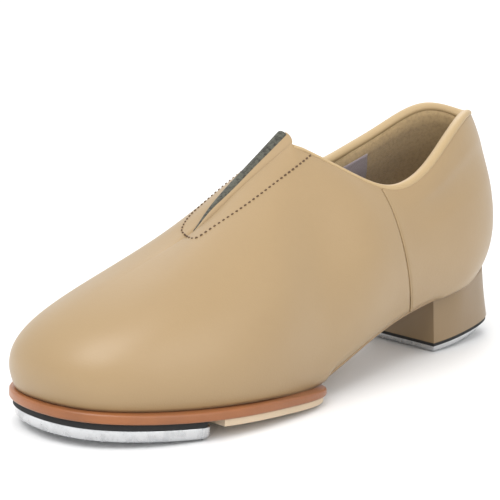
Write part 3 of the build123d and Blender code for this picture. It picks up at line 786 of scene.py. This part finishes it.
def seam_dips(columns, deep=0.5):
    """How far the face sinks at each column, so that the edge of the leather looks turned."""
    reach = (1 - np.abs(columns)) / 0.014
    return deep * (1 - np.sqrt(np.clip(1 - (1 - np.clip(reach, 0, 1)) ** 2, 0, 1)))


class TAPSHOE_OT_vamp(bpy.types.Operator):
    """Front of the upper, one piece of leather from side seam to side seam with the V-slit in its middle"""
    bl_idname = "tapshoe.vamp"
    bl_label = "Vamp"

    def execute(self, context):
        columns = seam_columns(15 * 16)
        knee = THROAT / 7

        def place(k, w):
            s = columns[k]
            w = np.asarray(w, float)
            far = np.clip((abs(s) - knee) / (1 - knee), 0, 1)
            near = min(abs(s), knee) * 7
            return np.sign(s) * (near + far * (seam_rib(w) - THROAT))

        loops = upper_loops(place, len(columns), seam_dips(columns))
        piece = loft("vamp_leather", loops)
        finish_piece(piece, made("Tan leather"), ("vamp", "vamp_waist"))
        return {"FINISHED"}


class TAPSHOE_OT_quarter(bpy.types.Operator):
    """Back of the upper, one piece of leather round the heel from side seam to side seam"""
    bl_idname = "tapshoe.quarter"
    bl_label = "Heel quarter"

    def execute(self, context):
        columns = seam_columns(8 * 20)
        gap = 0.012

        def place(k, w):
            s = columns[k]
            return HEEL + s * (HEEL - gap - seam_rib(np.asarray(w, float)))

        loops = upper_loops(place, len(columns), seam_dips(columns))
        piece = loft("quarter_leather", loops)
        finish_piece(piece, made("Tan leather"), ("heel_quarter",), "rear")
        return {"FINISHED"}


def tube(name, path, radius, sides=10):
    """Closed round tube along a list of points."""
    along = unit(np.gradient(path, axis=0))
    turn = np.linspace(0, math.tau, sides, endpoint=False)
    loops = []
    side = unit(np.cross(along[0], np.array([0.31, 0.57, 0.76])))
    for point, direction in zip(path, along):
        side = unit(side - direction * np.dot(side, direction))
        other = np.cross(direction, side)
        loops.append(point + radius * (np.cos(turn)[:, None] * side + np.sin(turn)[:, None] * other))
    return loft(name, np.array(loops), cap="ngon")


class TAPSHOE_OT_side_seams(bpy.types.Operator):
    """Thin closed ridge where vamp and quarter are sewn together, one on each side"""
    bl_idname = "tapshoe.side_seams"
    bl_label = "Side seams"

    def execute(self, context):
        w = np.linspace(0.02, 0.975, 60)
        for name, side in (("side_seam_outer", 1), ("side_seam_inner", -1)):
            path = inside(side * seam_rib(w), w, np.full(len(w), 0.16))
            piece = tube(name, path, 0.34)
            finish_piece(piece, made("Tan leather"), (), "rear")
        return {"FINISHED"}


# The lining lies this far below the outside of the upper, and deeper where a stiffener is between them.
LINING_DEPTH = 1.5
STIFFENER_THICKNESS = 0.9
LINING_THICKNESS = 0.7
COLLAR_PUFF = 2.6
# Heights that the lining reaches, and the rib where its front and back parts meet.
LINING_TOP = 0.992
LINING_TOP_AT_SLIT = 0.9
LINING_JOIN = 6.9


def lining_puff(t, w):
    """How far the padded collar swells the lining."""
    away = away_from_toe(t)
    swell = ease((away - 5.6) / 1.6) * ease((w - 0.55) / 0.3)
    return COLLAR_PUFF * swell * (1 - 0.62 * ease((w - 0.95) / 0.035))


def collar_swell(t, w):
    """How far the padded collar swells the quarter's leather, with a soft valley under it."""
    fade = ease((away_from_toe(t) - 6.9) / 1.6) * (1 - 0.85 * ease((away_from_toe(t) - 9.2) / 1.5))
    ridge = ease((w - 0.78) / 0.09) * ease((1.0 - w) / 0.08)
    valley = ease((w - 0.60) / 0.13) * ease((0.86 - w) / 0.13)
    return fade * (0.75 * ridge - 0.55 * valley)


def lining_loops(t_values, top):
    """Closed loops of a lining: up its outer face and down its inner one."""
    loops = []
    for t in t_values:
        limit = float(top(t))
        w = np.linspace(0, limit, 40)
        away = away_from_toe(t)
        stiff = max(float(1 - ease(away - 2.2)), float(ease(away - 7.2)))
        base = LINING_DEPTH + stiff * STIFFENER_THICKNESS + lining_puff(t, w)
        outer = inside(np.full(len(w), t), w, base)
        inner = inside(np.full(len(w), t), w, base + LINING_THICKNESS)
        loops.append(np.vstack([outer, inner[::-1]]))
    return np.array(loops)


class TAPSHOE_OT_linings(bpy.types.Operator):
    """Brushed lining of the forefoot and of the padded back"""
    bl_idname = "tapshoe.linings"
    bl_label = "Linings"

    def execute(self, context):
        def top(t):
            opened = ease((away_from_toe(t) - THROAT) / 0.5)
            return LINING_TOP_AT_SLIT + (LINING_TOP - LINING_TOP_AT_SLIT) * opened

        front = loft("front_lining", lining_loops(np.linspace(-LINING_JOIN, LINING_JOIN, 120), top))
        finish_piece(front, made("Brushed lining"), ("vamp_lining", "waist_lining"))
        behind = LINING_JOIN + 0.01
        rear = loft("back_lining", lining_loops(np.linspace(behind, STATIONS - behind, 120), top))
        finish_piece(rear, made("Brushed lining"), ("quarter_lining",))
        return {"FINISHED"}


class TAPSHOE_OT_binding(bpy.types.Operator):
    """Soft leather binding over the edge of the opening, thin at the throat and padded round the heel"""
    bl_idname = "tapshoe.binding"
    bl_label = "Topline binding"

    def execute(self, context):
        start = THROAT + 0.03
        turn = np.linspace(0, math.tau, 20, endpoint=False)
        loops = []
        for t in np.linspace(start, STATIONS - start, 240):
            away = float(away_from_toe(t))
            full = float(ease((away - THROAT) / 2.6))
            half_width = 1.15 + 1.15 * full
            half_height = 0.95 + 0.9 * full
            top = on_upper(t, 1.0)
            up = unit(top - on_upper(t, 0.97))
            out = outward(t, 0.997)
            ends = float(ease((away - THROAT) / 0.25))
            middle = top - out * (half_width - 0.42) + up * (0.15 - 0.15 * full - (1 - ends) * 0.9)
            squared = np.abs(np.cos(turn)) ** 0.85 * np.sign(np.cos(turn))
            loops.append(middle + half_width * squared[:, None] * out
                         + half_height * np.sin(turn)[:, None] * up)
        piece = loft("topline_binding", np.array(loops), cap="ngon")
        finish_piece(piece, made("Binding leather"), ("heel_binding", "waist_binding"))
        return {"FINISHED"}


def crest(t):
    return spline(CREST, np.atleast_1d(np.asarray(t, float)), closed=False)[0]


def under_vamp(place, overlap, sink, count):
    """Points that lie under the vamp's edge beside the slit."""
    place = math.copysign(min(abs(place), THROAT - 0.001), place)
    rows = np.linspace(1 - overlap, 1.0, count)
    return inside(np.full(count, place), rows, np.full(count, sink))


def throat_normal(place):
    place = math.copysign(min(abs(place), THROAT - 0.01), place)
    return outward(np.array([place]), np.array([0.985]))[0]


# Edge of each tab at the top of the V: its distance from the middle of the slit, and its height over
# the crest.
TABS = (("gore_tab_lateral_leather", "gore_tab_lateral", 1, 1.0, -0.1),
        ("gore_tab_medial_leather", "gore_tab_medial", -1, 3.2, -1.5))


class TAPSHOE_OT_gore(bpy.types.Operator):
    """Elastic in the V-slit and the two leather tabs that cover its edges"""
    bl_idname = "tapshoe.gore"
    bl_label = "Gore"

    def execute(self, context):
        places = np.concatenate([np.linspace(0.45, THROAT - 0.02, 80), THROAT + np.linspace(0, 0.17, 8)])
        for name, node, side, lip, drop in TABS:
            loops = []
            for t in places:
                held = min(t, THROAT)
                under = under_vamp(side * t, 0.05, 0.72, 5)
                lift = crest(t) - crest(held)
                open_by = float(ease((t - 0.3) / 3.2))
                reach = 0.12 + (lip - 0.12) * open_by
                edge = crest(held) + np.array([side * reach, 0, drop * open_by])
                normal = throat_normal(side * t)
                u = np.linspace(0.12, 1, 8)[:, None]
                handle = (under[-1] + edge) / 2 + np.array([side * 0.25, 0, 0.45])
                face = (1 - u) ** 2 * under[-1] + 2 * u * (1 - u) * handle + u * u * edge
                face = face + np.sqrt(np.clip(1 - (1 - u) ** 2, 0, 1)) * lift
                outer = np.vstack([under, face])
                rim = rounded_edge(outer[-1], normal, unit(outer[-1] - outer[-2]), np.array(0.8), 4)
                loops.append(np.vstack([outer, rim, outer[::-1] - 0.8 * normal]))
            piece = loft(name, np.array(loops))
            finish_piece(piece, made("Tan leather"), (node,))
        loops = []
        for t in np.concatenate([np.linspace(0.45, THROAT, 90), THROAT + np.linspace(0.02, 0.13, 5)]):
            held = min(t, THROAT)
            lift = crest(t) - crest(held)
            open_by = float(ease((t - 0.3) / 3.2))
            middle = crest(held) + lift + np.array([-1.2 * open_by, 0, 0.1 + 0.5 * open_by])
            sides = []
            for side in (1, -1):
                under = under_vamp(side * t, 0.04, 1.75, 5) + 0.4 * lift
                u = np.linspace(0.1, 0.93, 9)[:, None]
                shoulder = middle + np.array([side * (0.5 + 2.6 * open_by), 0, 0.15 * open_by])
                sides.append(np.vstack([under, (1 - u) ** 2 * under[-1] + 2 * u * (1 - u) * shoulder
                                        + u * u * middle]))
            outer = np.vstack([sides[0], middle, sides[1][::-1]])
            n = throat_normal(t)
            inner = outer[::-1] - 0.75 * np.array([0, n[1], abs(n[2])])
            loops.append(np.vstack([outer, inner]))
        piece = loft("gore_webbing", np.array(loops))
        finish_piece(piece, made("Gore elastic"), ("gore_elastic",))
        return {"FINISHED"}


# Places (rib, height) of the topstitching, from the slit's front end to the throat.
STITCH_ROUTE = np.array(((5.36, 0.985), (5, 0.873), (4.4, 0.871), (3.4, 0.879), (2.4, 0.879), (1.9, 0.884),
                         (1.1, 0.941), (-1.1, 0.956), (-1.9, 0.924), (-2.8, 0.876), (-3.4, 0.857),
                         (-4.2, 0.847), (-5, 0.85), (-5.36, 0.985)))


# Each stitch takes up this share of the pitch, stands this high over the leather and is this wide along it.
STITCH_FROM, STITCH_TO = 0.14, 0.80
STITCH_ARCH = (-0.30, 0.10, 0.16, 0.10, -0.30)
STITCH_WIDTHS = (0.55, 1, 1.05, 1, 0.55)


def stitch_line():
    """Route of the topstitching: down beside the slit, round its front end, and up the other side."""
    t, w = STITCH_ROUTE.T
    knots = np.concatenate([on_upper(t, w), outward(t, w)], -1)
    line = spline(knots, np.linspace(0, len(knots) - 1, 900), closed=False)
    return line[:, :3], unit(line[:, 3:])


class TAPSHOE_OT_stitches(bpy.types.Operator):
    """Rows of brown thread beside the V-slit"""
    bl_idname = "tapshoe.stitches"
    bl_label = "Topstitching"

    def execute(self, context):
        path, normals = stitch_line()
        length = np.concatenate([[0], np.cumsum(np.linalg.norm(np.diff(path, axis=0), axis=1))])
        pitch = sizes().stitch_pitch / MM
        radius = sizes().thread_radius / MM
        points, faces = [], []
        turn = np.linspace(0, math.tau, 6, endpoint=False)
        for k in range(int(length[-1] / pitch)):
            reach = np.linspace((k + STITCH_FROM) * pitch, (k + STITCH_TO) * pitch, 5)
            row = np.stack([np.interp(reach, length, path[:, i]) for i in range(3)], -1)
            up = unit(np.stack([np.interp(reach, length, normals[:, i]) for i in range(3)], -1))
            along = unit(row[-1] - row[0])
            row = row + up * np.array(STITCH_ARCH)[:, None]
            side = unit(np.cross(along, up))
            start = len(points)
            for centre, lift, across, size in zip(row, up, side, STITCH_WIDTHS):
                for a in turn:
                    points.append(centre + radius * size * (math.cos(a) * across + math.sin(a) * lift))
            faces += loop_faces(5, 6, start)
            faces += [tuple(start + j for j in reversed(range(6))), tuple(start + 24 + j for j in range(6))]
        piece = mesh_piece("gore_stitches", np.array(points), faces)
        finish_piece(piece, made("Thread"))
        return {"FINISHED"}


class TAPSHOE_OT_arch(bpy.types.Operator):
    """Leather under the arch, and the sock liner that lies on it"""
    bl_idname = "tapshoe.arch"
    bl_label = "Arch cover"

    def execute(self, context):
        for name, first, last, inset, low, high, sag, finish, slot, node in (
                ("arch_leather", 5.22, 8.15, 1.2, 0.02, 1.3, 0.7,
                 "Arch leather", "upper_leather", "arch_cover"),
                ("waist_sock", 5.08, 8.08, 3.4, 1.5, 2.9, 0.0,
                 "Sock liner", "lining", "sock_liner_waist")):
            loops = []
            for t in np.linspace(first, last, 60):
                right, left = on_upper(t, 0.0), on_upper(STATIONS - t, 0.0)
                u = np.linspace(-1, 1, 24)[:, None]
                reach = (right - left) / 2
                reach = reach * (1 - inset / np.linalg.norm(reach))
                bottom = ((right + left) / 2 + u * reach + np.array([0, 0, low])
                          - sag * (1 - u * u) * [0, 0, 1])
                loops.append(np.vstack([bottom, bottom[::-1] + np.array([0, 0, high - low])]))
            piece = loft(name, np.array(loops))
            finish_piece(piece, made(finish), (node,))
        return {"FINISHED"}


# Where the label lies on the lining: ribs and heights of its edges.
LABEL_RIBS = (13.5, 14.15)
LABEL_HEIGHTS = (0.74, 0.93)
LABEL_THICKNESS = 0.3


class TAPSHOE_OT_label(bpy.types.Operator):
    """Blank woven label, sewn to the lining inside the opening"""
    bl_idname = "tapshoe.label"
    bl_label = "Inside label"

    def execute(self, context):
        loops = []
        for t in np.linspace(*LABEL_RIBS, 14):
            w = np.linspace(*LABEL_HEIGHTS, 12)
            base = LINING_DEPTH + STIFFENER_THICKNESS + lining_puff(t, w) + LINING_THICKNESS + 0.02
            outer = inside(np.full(12, t), w, base)
            inner = inside(np.full(12, t), w, base + LABEL_THICKNESS)
            loops.append(np.vstack([outer, inner[::-1]]))
        piece = loft("inside_label", np.array(loops))
        finish_piece(piece, made("Label weave"), ("size_label",), "rear")
        return {"FINISHED"}


# Levels of the forefoot sole as it is drawn, before it is tipped.
TAP_BOTTOM = 0.0
OUTSOLE_BOTTOM = 4.8
TAP_TOP = 5.1
MIDSOLE_BOTTOM = 7.7
MIDSOLE_TOP = 11.65
# Where the outsole starts, and where the spacer and the tap end, across the shoe.
OUTSOLE_FRONT_Y = -70.5
SPACER_REAR_Y = -75.6
TAP_REAR_Y = -73.0
FAR_AWAY_Y = 200
# The midsole thins towards the arch by this much over this length.
SHANK_SKIVE = 1.5
SKIVE_FROM_Y = -55
SKIVE_LENGTH = 70


class TAPSHOE_OT_forefoot_sole(bpy.types.Operator):
    """Leather midsole, outsole, black spacer and aluminium toe tap, tipped together by the toe spring"""
    bl_idname = "tapshoe.forefoot_sole"
    bl_label = "Forefoot sole"

    def execute(self, context):
        around = 132
        full = smooth_outline(SOLE_PLAN, around)
        outsole = cut_outline(smooth_outline(SOLE_PLAN, around, 1.2), OUTSOLE_FRONT_Y, FAR_AWAY_Y)
        spacer = cut_outline(smooth_outline(SOLE_PLAN, around, 1.6), -FAR_AWAY_Y, SPACER_REAR_Y, 4.5)
        tap = cut_outline(smooth_outline(SOLE_PLAN, around, 2.6), -FAR_AWAY_Y, TAP_REAR_Y, 6.0)
        parts = (
            ("midsole_edge", full, MIDSOLE_BOTTOM, MIDSOLE_TOP, 0.9, 1.1,
             "Midsole leather", "midsole_leather", "midsole"),
            ("outsole_pad", outsole, OUTSOLE_BOTTOM, MIDSOLE_BOTTOM, 0.5, 0,
             "Outsole leather", "outsole_suede", "outsole"),
            ("tap_spacer", spacer, TAP_TOP, MIDSOLE_BOTTOM, 0, 0,
             "Black spacer", "spacer_rubber", "toe_tap_spacer"),
            ("toe_tap_plate", tap, TAP_BOTTOM, TAP_TOP, 2.1, 0.5,
             "Tap aluminium", "tap_aluminium", "toe_tap"),
        )
        for name, outline, low, high, round_low, round_high, finish, slot, node in parts:
            piece = plate(name, outline, low, high, round_low, round_high)
            if node == "midsole":
                self.skive_shank(piece)
            seat(piece, tip_toe)
            smooth(piece)
            finish_piece(piece, made(finish), (node,), "forefoot")
        return {"FINISHED"}

    def skive_shank(self, piece):
        """Thins the back of the midsole, where it runs out under the arch."""
        for vertex in piece.data.vertices:
            level = (vertex.co.z / MM - MIDSOLE_BOTTOM) / (MIDSOLE_TOP - MIDSOLE_BOTTOM)
            towards_arch = float(ease((vertex.co.y / MM - SKIVE_FROM_Y) / SKIVE_LENGTH))
            vertex.co.z -= SHANK_SKIVE * MM * max(level, 0) * towards_arch


# Half of the heel's plan as (share of the half width, distance from the breast or from the back).
HEEL_SIDE = ((1.0, 0.0), (1.01, 14.0))
HEEL_ROUND = ((0.86, 18.5), (0.55, 5.2), (0.0, 0.0))
# Height of the heel seat: (y, z), rising at the back into the curve of the upper.
HEEL_SEAT = np.array(((72, 24.5), (84, 26.4), (94, 28.2), (112, 30.2), (117, 30.9), (120, 32.0), (123, 34.0)))
# The cover widens by this share behind the breast, and its sides are hollow by this share of the flare.
HEEL_SPREAD = 0.075
HEEL_HOLLOW = 0.10
# Levels of the heel as it is drawn, before it is pitched.
HEEL_TAP_TOP = 3.2
LIFT_TOP = 4.62


def heel_outline(breast, half_width, back, count):
    """D-shaped plan of the heel, from the inside corner of the breast round the back."""
    half = [(share * half_width, breast + run) for share, run in HEEL_SIDE]
    half += [(share * half_width, back - run) for share, run in HEEL_ROUND]
    half = np.array(half)
    side = np.vstack([half, half[-2::-1] * (-1, 1)])
    return spline(side, np.linspace(0, len(side) - 1, count), closed=False)


def arc_share(points):
    """How far along its length each point of a line is, from 0 to 1."""
    run = np.concatenate([[0], np.cumsum(np.linalg.norm(np.diff(points, axis=0), axis=1))])
    return run / run[-1]


def even_points(points, count):
    """The same line read at evenly spaced places."""
    share = arc_share(points)
    even = np.linspace(0, 1, count)
    return np.stack([np.interp(even, share, points[:, i]) for i in range(points.shape[1])], -1)


class TAPSHOE_OT_heel(bpy.types.Operator):
    """Leather-covered heel with its black lift and aluminium tap"""
    bl_idname = "tapshoe.heel"
    bl_label = "Heel"

    def execute(self, context):
        count = 90
        low = heel_outline(BREAST_Y + 0.8, 21.6, 127.3, 400)
        low = even_points(tip_heel(np.column_stack([low, np.full(len(low), LIFT_TOP)])), count)
        top = heel_outline(BREAST_Y + 0.3, 21.0, 122.6, 400)
        top[:, 0] *= 1 + HEEL_SPREAD * ease((top[:, 1] - 77) / 18)
        seat_z = np.interp(top[:, 1], HEEL_SEAT[:, 0], HEEL_SEAT[:, 1])
        top = even_points(np.column_stack([top, seat_z]), count)
        loops = []
        for v in np.concatenate([[0, 0.006, 0.02], np.linspace(0.05, 0.95, 24), [0.985, 1.0]]):
            hollow = v + HEEL_HOLLOW * math.sin(math.pi * v)
            row = low * (1 - v) + top * v
            row[:, :2] = low[:, :2] * (1 - hollow) + top[:, :2] * hollow
            if v in (0, 1):
                middle = row[:, :2].mean(0)
                row[:, :2] = middle + (row[:, :2] - middle) * 0.985
            breast = row[-1] + (row[0] - row[-1]) * np.linspace(0, 1, 18)[1:-1, None]
            loops.append(np.vstack([row, breast]))
        piece = loft("heel_cover_leather", np.array(loops), cap="ngon")
        smooth(piece, 40)
        finish_piece(piece, made("Heel leather"), ("heel_cover",), "rear")
        lift = plate("heel_lift_rubber", heel_outline(BREAST_Y + 1.0, 21.3, 126.9, 90), HEEL_TAP_TOP,
                     LIFT_TOP, 0, 0)
        smooth(seat(lift, tip_heel))
        finish_piece(lift, made("Black spacer"), ("heel_lift",), "rear")
        tap = plate("heel_tap_plate", heel_outline(77.5, 19.8, 124.0, 90), TAP_BOTTOM, HEEL_TAP_TOP, 1.1, 0.3)
        smooth(seat(tap, tip_heel))
        finish_piece(tap, made("Tap aluminium"), ("heel_tap",), "rear")
        return {"FINISHED"}


# Studio lamps: name, place, width of the lamp, and power.
LAMPS = (("key", (0.25, -0.75, 1.05), 0.9, 11.0),
         ("fill", (1.1, -0.1, 0.55), 0.9, 4.0),
         ("back", (-0.7, 0.8, 0.9), 0.8, 6.0))
# The camera stands off the little-toe side of the toe and looks slightly down at the middle of the shoe.
CAMERA_AZIMUTH = 45.922
CAMERA_ELEVATION = 13.142
CAMERA_DISTANCE = 0.9
CAMERA_LENS = 158.1
CAMERA_AIM = (-8.411, -4.979, 52.86)
CAMERA_SHIFT_LEFT = 0.00043
CAMERA_SHIFT_UP = 0.00123


class TAPSHOE_OT_stage(bpy.types.Operator):
    """Pale floor, soft studio lights and the camera"""
    bl_idname = "tapshoe.stage"
    bl_label = "Stage"

    def execute(self, context):
        bpy.ops.object.select_all(action="DESELECT")
        bpy.ops.mesh.primitive_plane_add(size=12, location=(0, 0, CAD_BOX[0][2] - 0.0004))
        floor = context.active_object
        floor.name = "floor"
        paper, nodes, links, shader = material_base("Pale paper")
        shader.inputs["Base Color"].default_value = (0.82, 0.82, 0.82, 1)
        shader.inputs["Roughness"].default_value = 0.9
        floor.data.materials.append(paper)
        world = bpy.data.worlds.new("Studio")
        world.use_nodes = True
        context.scene.world = world
        background = world.node_tree.nodes["Background"]
        background.inputs["Color"].default_value = (1, 1, 1, 1)
        background.inputs["Strength"].default_value = 1.0
        context.scene.view_settings.view_transform = "Standard"
        middle = Vector((0, 0, 0.05))
        for name, place, size, power in LAMPS:
            light = bpy.data.lights.new(name, "AREA")
            light.size = size
            light.energy = power
            lamp = bpy.data.objects.new(name, light)
            lamp.location = place
            lamp.rotation_euler = (middle - Vector(place)).to_track_quat("-Z", "Y").to_euler()
            context.scene.collection.objects.link(lamp)
        azimuth, elevation = math.radians(CAMERA_AZIMUTH), math.radians(CAMERA_ELEVATION)
        away = Vector((math.sin(azimuth) * math.cos(elevation), -math.cos(azimuth) * math.cos(elevation),
                       math.sin(elevation)))
        right = Vector((math.cos(azimuth), math.sin(azimuth), 0))
        up = away.cross(right)
        aim = Vector(to_row(CAMERA_AIM)) - CAMERA_SHIFT_LEFT * right + CAMERA_SHIFT_UP * up
        lens = bpy.data.cameras.new("camera")
        lens.sensor_width = 36
        lens.lens = CAMERA_LENS
        lens.clip_start = 0.01
        camera = bpy.data.objects.new("camera", lens)
        turned = away.to_track_quat("Z", "Y").to_matrix().to_4x4()
        camera.matrix_world = Matrix.Translation(aim + away * CAMERA_DISTANCE) @ turned
        context.scene.collection.objects.link(camera)
        context.scene.camera = camera
        return {"FINISHED"}


class TAPSHOE_PT_panel(bpy.types.Panel):
    """Lists the shoe's pieces and settings"""
    bl_idname = "TAPSHOE_PT_panel"
    bl_label = "Tap shoe"
    bl_space_type = "VIEW_3D"
    bl_region_type = "UI"
    bl_category = "Tap shoe"

    def draw(self, context):
        for group in (context.scene.tap_shoe_colours, context.scene.tap_shoe_sizes):
            for name in group.bl_rna.properties.keys():
                if name not in ("rna_type", "name"):
                    self.layout.prop(group, name)
        for operator in OPERATORS:
            self.layout.operator(operator.bl_idname)


OPERATORS = (
    TAPSHOE_OT_stage, TAPSHOE_OT_materials, TAPSHOE_OT_vamp, TAPSHOE_OT_quarter, TAPSHOE_OT_side_seams,
    TAPSHOE_OT_linings, TAPSHOE_OT_binding, TAPSHOE_OT_gore, TAPSHOE_OT_stitches, TAPSHOE_OT_arch,
    TAPSHOE_OT_label, TAPSHOE_OT_forefoot_sole, TAPSHOE_OT_heel,
)
CLASSES = (TapShoeColours, TapShoeSizes, *OPERATORS, TAPSHOE_PT_panel)


def register():
    for item in CLASSES:
        bpy.utils.register_class(item)
    bpy.types.Scene.tap_shoe_colours = bpy.props.PointerProperty(type=TapShoeColours)
    bpy.types.Scene.tap_shoe_sizes = bpy.props.PointerProperty(type=TapShoeSizes)


def unregister():
    del bpy.types.Scene.tap_shoe_sizes
    del bpy.types.Scene.tap_shoe_colours
    for item in reversed(CLASSES):
        bpy.utils.unregister_class(item)


def main():
    register()
    for operator in OPERATORS:
        group, name = operator.bl_idname.split(".")
        getattr(getattr(bpy.ops, group), name)()


if __name__ == "__main__":
    main()
